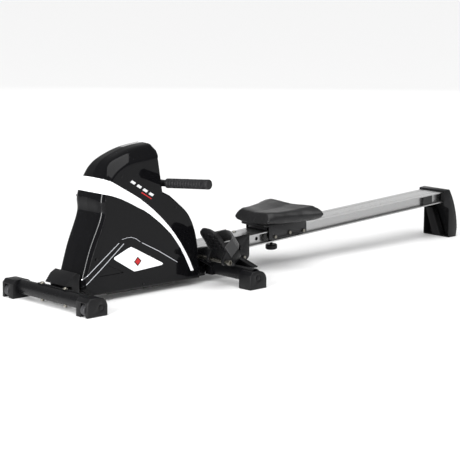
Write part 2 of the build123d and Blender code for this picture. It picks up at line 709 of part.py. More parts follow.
with BuildPart() as casing:
    add(casing_solid(0))
    add(casing_solid(CASE_WALL), mode=Mode.SUBTRACT)
    with BuildSketch(Plane.XY):
        with Locations((st(340), 0)):
            Rectangle(560, 2 * (CASE_HALF - CASE_WALL))
    extrude(amount=34, mode=Mode.SUBTRACT)
    with BuildSketch(Plane.XY):
        with Locations((st(340), 0)):
            Rectangle(700, 51)
    extrude(amount=BEAM_Z + 20.5, mode=Mode.SUBTRACT)
    with BuildSketch(rail_section(-270)):
        with Locations((0, RAIL_HEIGHT / 2)):
            Rectangle(2 * (PLATE_IN + PLATE_T) + 1, RAIL_HEIGHT + 14)
    extrude(amount=70, mode=Mode.SUBTRACT)
    with BuildSketch(Plane.YZ.offset(st(395))):
        with Locations((0, GUIDE_Z + GUIDE_R + 1)):
            Rectangle(36, 12)
    extrude(amount=40, mode=Mode.SUBTRACT)

for keep, name in ((Keep.TOP, "left"), (Keep.BOTTOM, "right")):
    with BuildPart() as half_case:
        add(casing.part)
        split(bisect_by=Plane.XZ, keep=keep)
    save(half_case.part, f"casing_{name}")

SCREWS = [(340, 452), (235, 420), (164, 347), (479, 290), (125, 150), (330, 39), (570, 63)]
with BuildPart() as casing_screws:
    for x, z in SCREWS:
        for hand in (-1, 1):
            lean = max(0.0, z - SHOULDER_Z) / (CROWN_Z - SHOULDER_Z)
            y_face = CASE_HALF - lean * (CASE_HALF - CROWN_HALF)
            low, high = sorted((hand * (y_face - 1.0), hand * (y_face + 1.2)))
            with BuildSketch(side(high)):
                with Locations((st(x), z)):
                    Circle(4.5)
            extrude(amount=high - low)
with BuildPart() as casing_screws_trimmed:
    add(casing_screws.part)
    add(casing_solid(0), mode=Mode.SUBTRACT)
save(casing_screws_trimmed.part, "casing_screws")

BAND_UP = [(168, 402), (246, 376), (316, 336), (373, 294), (424, 249), (476, 193), (521, 131), (560, 62)]
BAND_LOW = [(547, 62), (499, 145), (454, 201), (402, 246), (359, 279), (302, 310), (231, 345), (152, 372)]
BAND_T = 1.6
with BuildPart() as accent_band:
    for y_out in (CASE_HALF + BAND_T, -CASE_HALF):
        with BuildSketch(side(y_out)):
            with BuildLine():
                upper = Spline(*[(st(x), z) for x, z in BAND_UP])
                lower = Spline(*[(st(x), z) for x, z in BAND_LOW])
                Line(upper @ 1, lower @ 0)
                Line(lower @ 1, upper @ 0)
            make_face()
        extrude(amount=BAND_T)

DIAMOND = [(274, 172), (200, 143), (287, 91), (410, 98)]
with BuildPart() as side_panels:
    for y_out in (CASE_HALF + BAND_T, -CASE_HALF):
        with BuildSketch(side(y_out)):
            with BuildLine():
                Polyline(*[(st(x), z) for x, z in DIAMOND], close=True)
            make_face()
            fillet(vertices(), 9)
        extrude(amount=BAND_T)
with BuildPart() as white_accents:
    add(accent_band.part)
    add(side_panels.part)
save(white_accents.part, "white_accents")

TRIMS = [((84, 96), (221, 195)), ((90, 72), (243, 182)), ((323, 183), (470, 103))]
TRIM_T, TRIM_WIDTH = 1.2, 4.0
with BuildPart() as trim_strips:
    for y_out in (CASE_HALF + TRIM_T, -CASE_HALF):
        for start, end in TRIMS:
            run, rise = end[0] - start[0], end[1] - start[1]
            with BuildSketch(side(y_out)):
                with Locations((st((start[0] + end[0]) / 2), (start[1] + end[1]) / 2)):
                    SlotOverall(math.hypot(run, rise), TRIM_WIDTH, rotation=math.degrees(math.atan2(rise, run)))
            extrude(amount=TRIM_T)
save(trim_strips.part, "trim_strips")

with BuildPart() as nose_cover:
    with BuildSketch(side(58)):
        with BuildLine():
            Polyline((st(33), 27), (st(63), 27), (st(63), 84), (st(70), 104), (st(52), 112), (st(30), 100),
                     (st(8), 72), (st(30), 68), close=True)
        make_face()
    extrude(amount=116)
    with BuildSketch(side(54)):
        with BuildLine():
            Polyline((st(33), 26), (st(60), 26), (st(60), 84), (st(50), 106), (st(34), 98), (st(33), 70),
                     close=True)
        make_face()
    extrude(amount=108, mode=Mode.SUBTRACT)
    with BuildSketch(Plane.YZ.offset(st(20))):
        with Locations((0, 36)):
            Rectangle(61, 50)
    extrude(amount=60, mode=Mode.SUBTRACT)
save(nose_cover.part, "nose_cover")

with BuildPart() as handle_rest:
    for hand in (-1, 1):
        with BuildSketch(side(hand * 26 + 6)):
            with BuildLine():
                Polyline((st(421), 352), (st(444), 356), (st(444), 392), (st(413), 394), close=True)
            make_face()
            with Locations((st(BAR_X), BAR_Z)):
                Circle(BAR_R + 0.4, mode=Mode.SUBTRACT)
        extrude(amount=12)
with BuildPart() as handle_rest_fitted:
    add(handle_rest.part)
    add(casing_solid(0), mode=Mode.SUBTRACT)
save(handle_rest_fitted.part, "handle_rest")

# ---- console on the rear face of the casing's head ----
FACE_LOW, FACE_HIGH = Vector(st(412), 0, 398), Vector(st(396), 0, 498)
FACE_UP = (FACE_HIGH - FACE_LOW).normalized()
FACE_OUT = Vector(FACE_UP.Z, 0, -FACE_UP.X)
FACE_MID = FACE_LOW + (FACE_HIGH - FACE_LOW) * 0.45


def console_plane(w):
    """Sketch x runs to the rower's right, sketch y up the face; w is the height above the casing."""
    return Plane(origin=FACE_MID + FACE_OUT * w, x_dir=(0, 1, 0), z_dir=FACE_OUT)


CONSOLE_T, CONSOLE_SKIN = 9.0, 2.5
LENS = (72.0, 36.0)
LENS_AT = (0.0, 12.0)
BUTTON_AT = [(-28, -22), (0, -22), (28, -22)]
BUTTON_R = 6.0
with BuildPart() as console_housing:
    with BuildSketch(console_plane(0.05)):
        RectangleRounded(100, 80, 10)
    extrude(amount=CONSOLE_T)
    chamfer(console_housing.faces().sort_by(Axis.X)[-1].edges(), 2)
    with BuildSketch(console_plane(0)):
        RectangleRounded(94, 74, 7)
    extrude(amount=CONSOLE_T - CONSOLE_SKIN, mode=Mode.SUBTRACT)
    with BuildSketch(console_plane(0)):
        with Locations(LENS_AT):
            Rectangle(*LENS)
        with Locations(*BUTTON_AT):
            Circle(BUTTON_R + 0.3)
    extrude(amount=CONSOLE_T + 1, mode=Mode.SUBTRACT)
save(console_housing.part, "console_housing")

with BuildPart() as console_lens:
    with BuildSketch(console_plane(CONSOLE_T - 2.5)):
        with Locations(LENS_AT):
            Rectangle(*LENS)
    extrude(amount=2)
save(console_lens.part, "console_lens")

with BuildPart() as console_board:
    with BuildSketch(console_plane(1)):
        Rectangle(88, 68)
    extrude(amount=1.6)
    with BuildSketch(console_plane(2.6)):
        with Locations(LENS_AT):
            Rectangle(LENS[0] - 2, LENS[1] - 2)
    extrude(amount=3.4)
save(console_board.part, "console_board")

for number, at in enumerate(BUTTON_AT, 1):
    with BuildPart() as button:
        with BuildSketch(console_plane(4.6)):
            with Locations(at):
                Circle(BUTTON_R)
        extrude(amount=6.4)
        fillet(button.edges().filter_by(GeomType.CIRCLE).sort_by(Axis.X)[-1], 1)
    save(button.part, f"console_button_{number}")

# ---- drive inside the casing ----
save(rod(st(GUIDE_X), GUIDE_Z, GUIDE_R, -16, 16, GUIDE_AXLE_R + RUN_FIT), "guide_roller")

with BuildPart() as flywheel:
    with BuildSketch(side(24)):
        with Locations((st(WHEEL_X), WHEEL_Z)):
            Circle(WHEEL_R)
            Circle(WHEEL_R - 26, mode=Mode.SUBTRACT)
    extrude(amount=24)
    with BuildSketch(side(18)):
        with Locations((st(WHEEL_X), WHEEL_Z)):
            Circle(WHEEL_R - 25)
            Circle(16, mode=Mode.SUBTRACT)
            with PolarLocations(56, 5):
                Circle(18, mode=Mode.SUBTRACT)
    extrude(amount=12)
save(flywheel.part, "flywheel")

SMALL_PULLEY_R, BIG_PULLEY_R = 26.0, 70.0
BELT_OUT, BELT_IN = -18.0, -34.0        # the pulleys' faces
BELT_GAP, BELT_T, BELT_EDGE = 0.3, 2.0, 2.0
with BuildPart() as flywheel_pulley:
    add(rod(st(WHEEL_X), WHEEL_Z, 16, -40, 30, FLY_AXLE_R + RUN_FIT))
    add(rod(st(WHEEL_X), WHEEL_Z, SMALL_PULLEY_R, BELT_IN, BELT_OUT, 16))
save(flywheel_pulley.part, "flywheel_pulley")
save(rod(st(DRUM_X), DRUM_Z, BIG_PULLEY_R, BELT_IN, BELT_OUT, FLY_AXLE_R + RUN_FIT), "drive_pulley")



def belt_core(gap):
    """What a belt standing off both pulleys by this gap would hold inside it."""
    with BuildPart() as core:
        with BuildSketch(side(BELT_OUT - BELT_EDGE)):
            with Locations((st(WHEEL_X), WHEEL_Z)):
                Circle(SMALL_PULLEY_R + gap)
            with Locations((st(DRUM_X), DRUM_Z)):
                Circle(BIG_PULLEY_R + gap)
            make_hull()
        extrude(amount=BELT_OUT - BELT_IN - 2 * BELT_EDGE)
    return core.part


with BuildPart() as drive_belt:
    add(belt_core(BELT_GAP + BELT_T))
    add(belt_core(BELT_GAP), mode=Mode.SUBTRACT)
save(drive_belt.part, "drive_belt")

with BuildPart() as strap_drum:
    with BuildSketch(side(16)):
        with Locations((st(DRUM_X), DRUM_Z)):
            Circle(DRUM_R)
            Circle(FLY_AXLE_R + RUN_FIT, mode=Mode.SUBTRACT)
    extrude(amount=32)
    for y_out in (16, -14):
        with BuildSketch(side(y_out)):
            with Locations((st(DRUM_X), DRUM_Z)):
                Circle(DRUM_R + 9)
                Circle(FLY_AXLE_R + RUN_FIT, mode=Mode.SUBTRACT)
        extrude(amount=2)
save(strap_drum.part, "strap_drum")

SPRING_TURNS, SPRING_PITCH, SPRING_START = 5, 5.0, 12.0
with BuildPart() as return_spring:
    with BuildSketch(side(40)):
        with BuildLine():
            # each half turn is a half circle, and its centre steps over by a quarter of the pitch
            for half_turn in range(2 * SPRING_TURNS):
                radius = SPRING_START + half_turn * SPRING_PITCH / 2
                turned = half_turn % 2
                centre = (st(DRUM_X) + (SPRING_PITCH / 4) * (1 if turned else -1), DRUM_Z)
                CenterArc(centre, radius, 180 * turned, 180)
        trace(line_width=1.2)
    extrude(amount=16)
save(return_spring.part, "return_spring")

with BuildPart() as spring_housing:
    with BuildSketch(side(PLATE_IN - 11)):
        with Locations((st(DRUM_X), DRUM_Z)):
            Circle(46)
            Circle(42, mode=Mode.SUBTRACT)
    extrude(amount=24)
    with BuildSketch(side(PLATE_IN)):
        with Locations((st(DRUM_X), DRUM_Z)):
            Circle(46)
            Circle(FLY_AXLE_R, mode=Mode.SUBTRACT)
    extrude(amount=13)
save(spring_housing.part, "spring_housing")

# magnetic brake: an arm of magnets that swings away from the flywheel's rim
ARM_IN, ARM_OUT = 121.0, 126.0
ARM_PIN_R, ARM_PIVOT_REACH, ARM_PIVOT_ANGLE = 5.0, 130.0, 118.0


def wheel_point(radius, angle):
    turn = math.radians(angle)
    return (st(WHEEL_X) + radius * math.cos(turn), WHEEL_Z + radius * math.sin(turn))


ARM_PIVOT = wheel_point(ARM_PIVOT_REACH, ARM_PIVOT_ANGLE)


def wheel_arc(r0, r1, a0, a1):
    """Outline of a stretch of ring round the flywheel's axle."""
    ThreePointArc(wheel_point(r0, a0), wheel_point(r0, (a0 + a1) / 2), wheel_point(r0, a1))
    Line(wheel_point(r0, a1), wheel_point(r1, a1))
    ThreePointArc(wheel_point(r1, a1), wheel_point(r1, (a0 + a1) / 2), wheel_point(r1, a0))
    Line(wheel_point(r1, a0), wheel_point(r0, a0))


with BuildPart() as brake_arm:
    with BuildSketch(side(24)):
        with BuildLine():
            wheel_arc(ARM_IN, ARM_OUT, 120, 206)
        make_face()
        with Locations(ARM_PIVOT):
            Circle(9)
            Circle(ARM_PIN_R + RUN_FIT, mode=Mode.SUBTRACT)
        with Locations((st(WHEEL_X), WHEEL_Z)):
            Circle(ARM_IN, mode=Mode.SUBTRACT)
    extrude(amount=24)
save(brake_arm.part, "brake_arm")

with BuildPart() as brake_magnets:
    with BuildSketch(side(22)):
        for angle in (132, 150, 168, 186):
            with BuildLine():
                wheel_arc(ARM_IN - 4, ARM_IN, angle, angle + 11)
            make_face()
    extrude(amount=20)
save(brake_magnets.part, "brake_magnets")

AXLE_HALF = PLATE_IN + PLATE_T + 2
with BuildPart() as drive_axles:
    add(rod(st(WHEEL_X), WHEEL_Z, FLY_AXLE_R, -AXLE_HALF, AXLE_HALF))
    add(rod(st(DRUM_X), DRUM_Z, FLY_AXLE_R, -AXLE_HALF, AXLE_HALF))
    add(rod(st(GUIDE_X), GUIDE_Z, GUIDE_AXLE_R, -AXLE_HALF, AXLE_HALF))
    add(rod(*ARM_PIVOT, ARM_PIN_R, -10, PLATE_IN))
save(drive_axles.part, "drive_axles")

with BuildPart() as brake_servo:
    with BuildSketch(side(PLATE_IN)):
        with Locations((st(254), 334)):
            RectangleRounded(22, 40, 3)
    extrude(amount=26)
save(brake_servo.part, "brake_servo")

# ---- handle ----
BEND_Y, END_Y = 44.0, 243.0
END_OUT, END_RISE = 30.0, 15.0


def handle_point(y):
    """The bar's axis: straight in the middle, then swept back towards the rower and slightly up."""
    past = max(0.0, abs(y) - BEND_Y) / (END_Y - BEND_Y)
    return Vector(st(BAR_X) + END_OUT * past, y, BAR_Z + END_RISE * past)


def swept_bar(radius):
    """A round bar of this radius along the handle's axis."""
    axis = [handle_point(y) for y in (-END_Y, -BEND_Y, BEND_Y, END_Y)]
    with BuildPart() as bar:
        with BuildLine():
            FilletPolyline(*axis, radius=60)
        with BuildSketch(Plane(origin=axis[0], z_dir=axis[1] - axis[0])):
            Circle(radius)
        sweep()
    return bar.part


with BuildPart() as handle_bar:
    add(swept_bar(BAR_R))
    add(swept_bar(BAR_R - 2), mode=Mode.SUBTRACT)
save(handle_bar.part, "handle_bar")

GRIP_R = 17.0
with BuildPart() as grips:
    for hand in (-1, 1):
        start, end = handle_point(hand * 62), handle_point(hand * 248)
        with BuildSketch(Plane(origin=start, z_dir=end - start)):
            Circle(GRIP_R)
        extrude(amount=(end - start).length)
    chamfer(grips.edges().filter_by(GeomType.CIRCLE).group_by(SortBy.RADIUS)[-1], 3)
    add(swept_bar(BAR_R), mode=Mode.SUBTRACT)
save(grips.part, "grips")

with BuildPart() as strap_clip:
    with BuildSketch(side(15)):
        with Locations((st(BAR_X), BAR_Z)):
            Circle(BAR_R + 4)
        with Locations((st(BAR_X - 20), BAR_Z + 0.8)):
            Rectangle(16, 9)
    extrude(amount=30)
    add(rod(st(BAR_X), BAR_Z, BAR_R, -20, 20), mode=Mode.SUBTRACT)
    with BuildSketch(side(14)):
        with Locations((st(BAR_X - 24), BAR_Z + 0.4)):
            Rectangle(12, 2.4)
    extrude(amount=28, mode=Mode.SUBTRACT)
save(strap_clip.part, "strap_clip")

STRAP_T = 1.6
with BuildPart() as pull_strap:
    with BuildSketch(side(12.5)):
        with BuildLine():
            # off the drum's underside, over the guide roller and straight out to the clip
            drum_low = (st(DRUM_X) + 5, DRUM_Z - DRUM_R - 1.3)
            over = (st(GUIDE_X) - 3, GUIDE_Z + GUIDE_R + 1.1)
            FilletPolyline(drum_low, over, (st(BAR_X) - 19, GUIDE_Z + GUIDE_R + 1.3), radius=14)
        trace(line_width=STRAP_T)
    extrude(amount=25)
save(pull_strap.part, "pull_strap")
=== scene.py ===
import json
import math

import bmesh
import bpy
from mathutils import Matrix, Vector


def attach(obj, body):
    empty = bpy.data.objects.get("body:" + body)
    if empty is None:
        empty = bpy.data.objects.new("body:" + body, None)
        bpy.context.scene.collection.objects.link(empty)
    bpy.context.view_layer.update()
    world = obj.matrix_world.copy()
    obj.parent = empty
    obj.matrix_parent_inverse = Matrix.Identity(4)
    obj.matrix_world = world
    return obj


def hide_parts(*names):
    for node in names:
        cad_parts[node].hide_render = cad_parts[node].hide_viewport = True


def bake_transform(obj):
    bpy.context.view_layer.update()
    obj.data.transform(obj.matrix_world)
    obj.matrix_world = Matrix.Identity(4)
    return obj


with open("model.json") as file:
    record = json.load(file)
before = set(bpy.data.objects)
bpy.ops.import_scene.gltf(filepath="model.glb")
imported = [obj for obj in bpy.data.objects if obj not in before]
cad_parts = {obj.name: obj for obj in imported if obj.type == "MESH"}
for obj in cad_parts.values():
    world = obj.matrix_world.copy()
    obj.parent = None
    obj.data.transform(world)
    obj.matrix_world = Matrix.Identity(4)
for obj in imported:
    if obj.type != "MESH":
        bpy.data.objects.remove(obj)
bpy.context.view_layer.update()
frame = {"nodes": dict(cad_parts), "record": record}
NODES = frame["nodes"]
SCENE = bpy.context.scene

# Stations run along the machine, in mm from the front stabilizer's axis; CENTRE is the station at x = 0.
CENTRE = 986.5
RAIL_GRADIENT = 0.0439
RAIL_X, RAIL_Z = 812, 96    # the point that on_rail measures from
SLOPE = math.atan(RAIL_GRADIENT)
ALONG = Vector((math.cos(SLOPE), 0, math.sin(SLOPE)))
RAIL_UP = Vector((-math.sin(SLOPE), 0, math.cos(SLOPE)))


def place(x, y, z):
    """A station, y and z in mm, as a point of the row frame in metres."""
    return Vector(((x - CENTRE) / 1000, y / 1000, z / 1000))


def on_rail(u, y, w):
    """The point u mm along the rail, y across it and w above it."""
    return place(RAIL_X, y, RAIL_Z) + (ALONG * u + RAIL_UP * w) / 1000


# ---- materials ----
def shader(name, colour, rough, metal=0.0, coat=0.0, sheen=0.0, alpha=1.0, specular=0.5):
    mat = bpy.data.materials.new(name)
    mat.use_nodes = True
    tree = mat.node_tree
    bsdf = tree.nodes["Principled BSDF"]
    bsdf.inputs["Base Color"].default_value = (*colour, 1)
    bsdf.inputs["Roughness"].default_value = rough
    bsdf.inputs["Metallic"].default_value = metal
    bsdf.inputs["Specular IOR Level"].default_value = specular
    bsdf.inputs["Coat Weight"].default_value = coat
    bsdf.inputs["Coat Roughness"].default_value = 0.06
    bsdf.inputs["Sheen Weight"].default_value = sheen
    if alpha < 1:
        bsdf.inputs["Alpha"].default_value = alpha
    return mat, tree, bsdf


def coords(tree, scale=(1, 1, 1), turn=(0, 0, 0)):
    where = tree.nodes.new("ShaderNodeTexCoord")
    mapping = tree.nodes.new("ShaderNodeMapping")
    mapping.inputs["Scale"].default_value = scale
    mapping.inputs["Rotation"].default_value = turn
    tree.links.new(where.outputs["Object"], mapping.inputs["Vector"])
    return mapping.outputs["Vector"]


def noise(tree, vector, scale, detail=3.0, rough=0.5):
    tex = tree.nodes.new("ShaderNodeTexNoise")
    tex.inputs["Scale"].default_value = scale
    tex.inputs["Detail"].default_value = detail
    tex.inputs["Roughness"].default_value = rough
    tree.links.new(vector, tex.inputs["Vector"])
    return tex.outputs["Fac"]


def spread(tree, value, low, high):
    """Noise keeps mostly to 0.3 to 0.7; that range becomes low to high."""
    ranged = tree.nodes.new("ShaderNodeMapRange")
    ranged.inputs["From Min"].default_value = 0.3
    ranged.inputs["From Max"].default_value = 0.7
    ranged.inputs["To Min"].default_value = low
    ranged.inputs["To Max"].default_value = high
    tree.links.new(value, ranged.inputs["Value"])
    return ranged.outputs["Result"]


def tint(tree, bsdf, value, dark, light):
    mix = tree.nodes.new("ShaderNodeMix")
    mix.data_type = "RGBA"
    mix.inputs[6].default_value = (*dark, 1)
    mix.inputs[7].default_value = (*light, 1)
    tree.links.new(value, mix.inputs[0])
    tree.links.new(mix.outputs[2], bsdf.inputs["Base Color"])


def bump(tree, bsdf, height, strength, distance=0.0005, onto=None):
    node = tree.nodes.new("ShaderNodeBump")
    node.inputs["Strength"].default_value = strength
    node.inputs["Distance"].default_value = distance
    tree.links.new(height, node.inputs["Height"])
    if onto is not None:
        tree.links.new(onto, node.inputs["Normal"])
    tree.links.new(node.outputs["Normal"], bsdf.inputs["Normal"])
    return node.outputs["Normal"]


def plain(name, colour, rough, metal=0.0, coat=0.0, grain=900.0, depth=0.15, vary=0.08, specular=0.3):
    """A moulded, painted or cast finish: fine grain, and soft patches of gloss and tone."""
    mat, tree, bsdf = shader(name, colour, rough, metal, coat, specular=specular)
    at = coords(tree)
    patches = noise(tree, at, 14.0, 4.0, 0.6)
    tree.links.new(spread(tree, patches, max(0.02, rough - vary), rough + vary), bsdf.inputs["Roughness"])
    dark = tuple(c * 0.86 for c in colour)
    light = tuple(min(1.0, c * 1.12) for c in colour)
    tint(tree, bsdf, patches, dark, light)
    bump(tree, bsdf, noise(tree, at, grain, 2.0), depth, 0.0002)
    return mat


def brushed(name, colour, rough, along=(14, 900, 900), depth=0.12):
    mat, tree, bsdf = shader(name, colour, rough, 1.0)
    at = coords(tree, along, (0, SLOPE, 0))
    lines = noise(tree, at, 1.0, 4.0, 0.7)
    tree.links.new(spread(tree, lines, rough - 0.07, rough + 0.09), bsdf.inputs["Roughness"])
    tint(tree, bsdf, lines, tuple(c * 0.9 for c in colour), tuple(min(1, c * 1.06) for c in colour))
    bump(tree, bsdf, lines, depth, 0.0001)
    return mat


def grained(name, colour, rough):
    """Vinyl with a leather grain."""
    mat, tree, bsdf = shader(name, colour, rough, specular=0.35)
    at = coords(tree)
    cells = tree.nodes.new("ShaderNodeTexVoronoi")
    cells.feature = "DISTANCE_TO_EDGE"
    cells.inputs["Scale"].default_value = 420.0
    tree.links.new(at, cells.inputs["Vector"])
    first = bump(tree, bsdf, cells.outputs["Distance"], 0.35, 0.0006)
    bump(tree, bsdf, noise(tree, at, 60.0, 4.0), 0.12, 0.001, first)
    wear = noise(tree, at, 10.0, 3.0)
    tree.links.new(spread(tree, wear, rough - 0.06, rough + 0.08), bsdf.inputs["Roughness"])
    tint(tree, bsdf, wear, tuple(c * 0.8 for c in colour), tuple(c * 1.25 for c in colour))
    return mat


def woven(name, colour):
    mat, tree, bsdf = shader(name, colour, 0.8, sheen=0.2)
    at = coords(tree)
    weft = tree.nodes.new("ShaderNodeTexWave")
    weft.inputs["Scale"].default_value = 260.0
    weft.inputs["Distortion"].default_value = 0.6
    tree.links.new(at, weft.inputs["Vector"])
    warp = tree.nodes.new("ShaderNodeTexWave")
    warp.bands_direction = "Y"
    warp.inputs["Scale"].default_value = 200.0
    tree.links.new(at, warp.inputs["Vector"])
    first = bump(tree, bsdf, weft.outputs["Fac"], 0.5, 0.0004)
    bump(tree, bsdf, warp.outputs["Fac"], 0.5, 0.0004, first)
    tint(tree, bsdf, weft.outputs["Fac"], tuple(c * 0.6 for c in colour), tuple(c * 1.4 for c in colour))
    return mat


MAT = {
    "gloss_casing": plain("gloss_black", (0.003, 0.003, 0.0035), 0.06, 0.0, 0.0, 260.0, 0.012, 0.02,
                          specular=0.14),
    "white_plastic": plain("gloss_white", (0.84, 0.85, 0.86), 0.16, 0.0, 0.4, 300.0, 0.02, 0.04),
    "bright_trim": plain("bright_trim", (0.72, 0.74, 0.78), 0.16, 1.0, 0.0, 300.0, 0.03, 0.05),
    "black_plastic": plain("satin_black_plastic", (0.005, 0.005, 0.0055), 0.4, 0.0, 0.0, 1100.0, 0.3, 0.08,
                           specular=0.2),
    "black_frame": plain("black_powder_coat", (0.004, 0.004, 0.0045), 0.28, 0.0, 0.0, 1500.0, 0.35, 0.06,
                         specular=0.2),
    "zinc": plain("zinc_plate", (0.20, 0.19, 0.165), 0.3, 1.0, 0.0, 700.0, 0.12, 0.08),
    "console_plastic": plain("console_plastic", (0.022, 0.022, 0.024), 0.36, 0.0, 0.0, 1300.0, 0.25, 0.06),
    "console_screen": plain("display_grey_green", (0.34, 0.40, 0.33), 0.35, 0.0, 0.0, 500.0, 0.05, 0.05),
    "button_plastic": plain("button_grey", (0.34, 0.35, 0.37), 0.5, 0.0, 0.0, 800.0, 0.15, 0.06),
    "belt_rubber": plain("belt_rubber", (0.025, 0.025, 0.025), 0.7, 0.0, 0.0, 700.0, 0.4, 0.08),
    "spring_steel": brushed("spring_steel", (0.36, 0.37, 0.40), 0.32),
    "flywheel_iron": plain("cast_iron_paint", (0.07, 0.07, 0.075), 0.5, 0.3, 0.0, 380.0, 0.5, 0.1),
    "alloy": brushed("turned_alloy", (0.70, 0.71, 0.73), 0.3, (900, 12, 900)),
    "magnet": plain("nickel_plate", (0.55, 0.53, 0.5), 0.2, 1.0, 0.0, 500.0, 0.08, 0.05),
    "drum_plastic": plain("drum_plastic", (0.06, 0.06, 0.065), 0.45, 0.0, 0.0, 900.0, 0.2, 0.06),
    "strap_webbing": woven("strap_webbing", (0.008, 0.008, 0.009)),
    "chrome_bar": plain("satin_black_steel", (0.02, 0.02, 0.022), 0.28, 0.0, 0.2, 1200.0, 0.2, 0.05),
    "grip_foam": plain("grip_foam", (0.008, 0.008, 0.009), 0.6, 0.0, 0.0, 620.0, 0.8, 0.06),
    "rail_aluminium": brushed("rail_aluminium", (0.44, 0.44, 0.44), 0.3),
    "stop_rubber": plain("stop_rubber", (0.02, 0.02, 0.02), 0.62, 0.0, 0.0, 700.0, 0.35, 0.06),
    "carriage_grey": plain("carriage_coat", (0.009, 0.009, 0.01), 0.36, 0.0, 0.0, 1400.0, 0.35, 0.06),
    "roller_nylon": plain("roller_nylon", (0.04, 0.04, 0.044), 0.4, 0.0, 0.0, 900.0, 0.15, 0.06),
    "seat_cover": grained("seat_vinyl", (0.005, 0.005, 0.0055), 0.4),
    "wheel_plastic": plain("wheel_plastic", (0.03, 0.03, 0.032), 0.45, 0.0, 0.0, 900.0, 0.25, 0.06),
}
glass, glass_tree, glass_bsdf = shader("console_window", (0.05, 0.06, 0.06), 0.08, alpha=0.35)
bump(glass_tree, glass_bsdf, noise(glass_tree, coords(glass_tree), 200.0), 0.01, 0.0001)
MAT["console_glass"] = glass
SLOT_OF = {s["node"]: s["material_slot"] for s in frame["record"]["subparts"]}


def paint(obj, slot_name):
    obj.data.materials.clear()
    obj.data.materials.append(MAT[slot_name])


for node, obj in NODES.items():
    paint(obj, SLOT_OF[node])


# ---- meshes ----
SMOOTH_ANGLE = 38.0     # edges sharper than this stay sharp
WELD = 1e-6             # vertices nearer than this, in metres, become one
ON_PLANE = 1e-7         # vertices nearer than this to a cutting plane lie on it


def smooth_by_angle(obj, degrees=SMOOTH_ANGLE):
    mesh = obj.data
    bm = bmesh.new()
    bm.from_mesh(mesh)
    limit = math.radians(degrees)
    for face in bm.faces:
        face.smooth = True
    for edge in bm.edges:
        edge.smooth = len(edge.link_faces) == 2 and edge.calc_face_angle(0.0) < limit
    bm.to_mesh(mesh)
    bm.free()


def add_object(name, mesh, slot_name):
    obj = bpy.data.objects.new(name, mesh)
    SCENE.collection.objects.link(obj)
    paint(obj, slot_name)
    return obj


def finish_mesh(name, bm, slot_name, degrees=SMOOTH_ANGLE):
    bmesh.ops.recalc_face_normals(bm, faces=bm.faces)
    mesh = bpy.data.meshes.new(name)
    bm.to_mesh(mesh)
    bm.free()
    obj = add_object(name, mesh, slot_name)
    smooth_by_angle(obj, degrees)
    return obj


def bake(obj):
    """Applies obj's modifiers to its mesh."""
    graph = bpy.context.evaluated_depsgraph_get()
    mesh = bpy.data.meshes.new_from_object(obj.evaluated_get(graph))
    obj.modifiers.clear()
    obj.data = mesh


def cut_away(obj, other):
    """Takes other's volume out of obj."""
    mod = obj.modifiers.new("cut", "BOOLEAN")
    mod.operation = "DIFFERENCE"
    mod.solver = "EXACT"
    mod.object = other
    bake(obj)


def discard(*objs):
    for obj in objs:
        bpy.data.objects.remove(obj)


def prism(outline, y0, y1, name="cutter"):
    """A side-view outline, in stations and mm, carried across from y0 to y1."""
    bm = bmesh.new()
    near = [bm.verts.new(place(x, y0, z)) for x, z in outline]
    far = [bm.verts.new(place(x, y1, z)) for x, z in outline]
    bm.faces.new(near)
    bm.faces.new(list(reversed(far)))
    for i in range(len(outline)):
        j = (i + 1) % len(outline)
        bm.faces.new((near[j], near[i], far[i], far[j]))
    return finish_mesh(name, bm, "gloss_casing")


def softened(node, width, body, segments=2, angle=32.0):
    """The CAD piece with its sharp edges eased by width mm."""
    bm = bmesh.new()
    bm.from_mesh(NODES[node].data)
    bmesh.ops.remove_doubles(bm, verts=bm.verts, dist=WELD)
    bmesh.ops.dissolve_limit(bm, angle_limit=math.radians(1.0), verts=bm.verts, edges=bm.edges)
    mesh = bpy.data.meshes.new(node + "_eased")
    bm.to_mesh(mesh)
    bm.free()
    obj = add_object(node + "_eased", mesh, SLOT_OF[node])
    mod = obj.modifiers.new("ease", "BEVEL")
    mod.width = width / 1000
    mod.segments = segments
    mod.limit_method = "ANGLE"
    mod.angle_limit = math.radians(angle)
    mod.use_clamp_overlap = True
    bake(obj)
    smooth_by_angle(obj, 40.0)
    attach(obj, body)
    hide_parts(node)
    return obj


# ---- casing ----
def curve_through(points, corners, steps):
    """Catmull-Rom through the closed list of points, with sharp turns at the corners."""
    count = len(points)
    out = []
    for i in range(count):
        b, c = points[i], points[(i + 1) % count]
        a = b + (b - c) if i in corners else points[i - 1]
        d = c + (c - b) if (i + 1) % count in corners else points[(i + 2) % count]
        for k in range(steps):
            t = k / steps
            out.append(0.5 * (2 * b + (c - a) * t + (2 * a - 5 * b + 4 * c - d) * t * t
                              + (3 * b - a - 3 * c + d) * t ** 3))
    return out


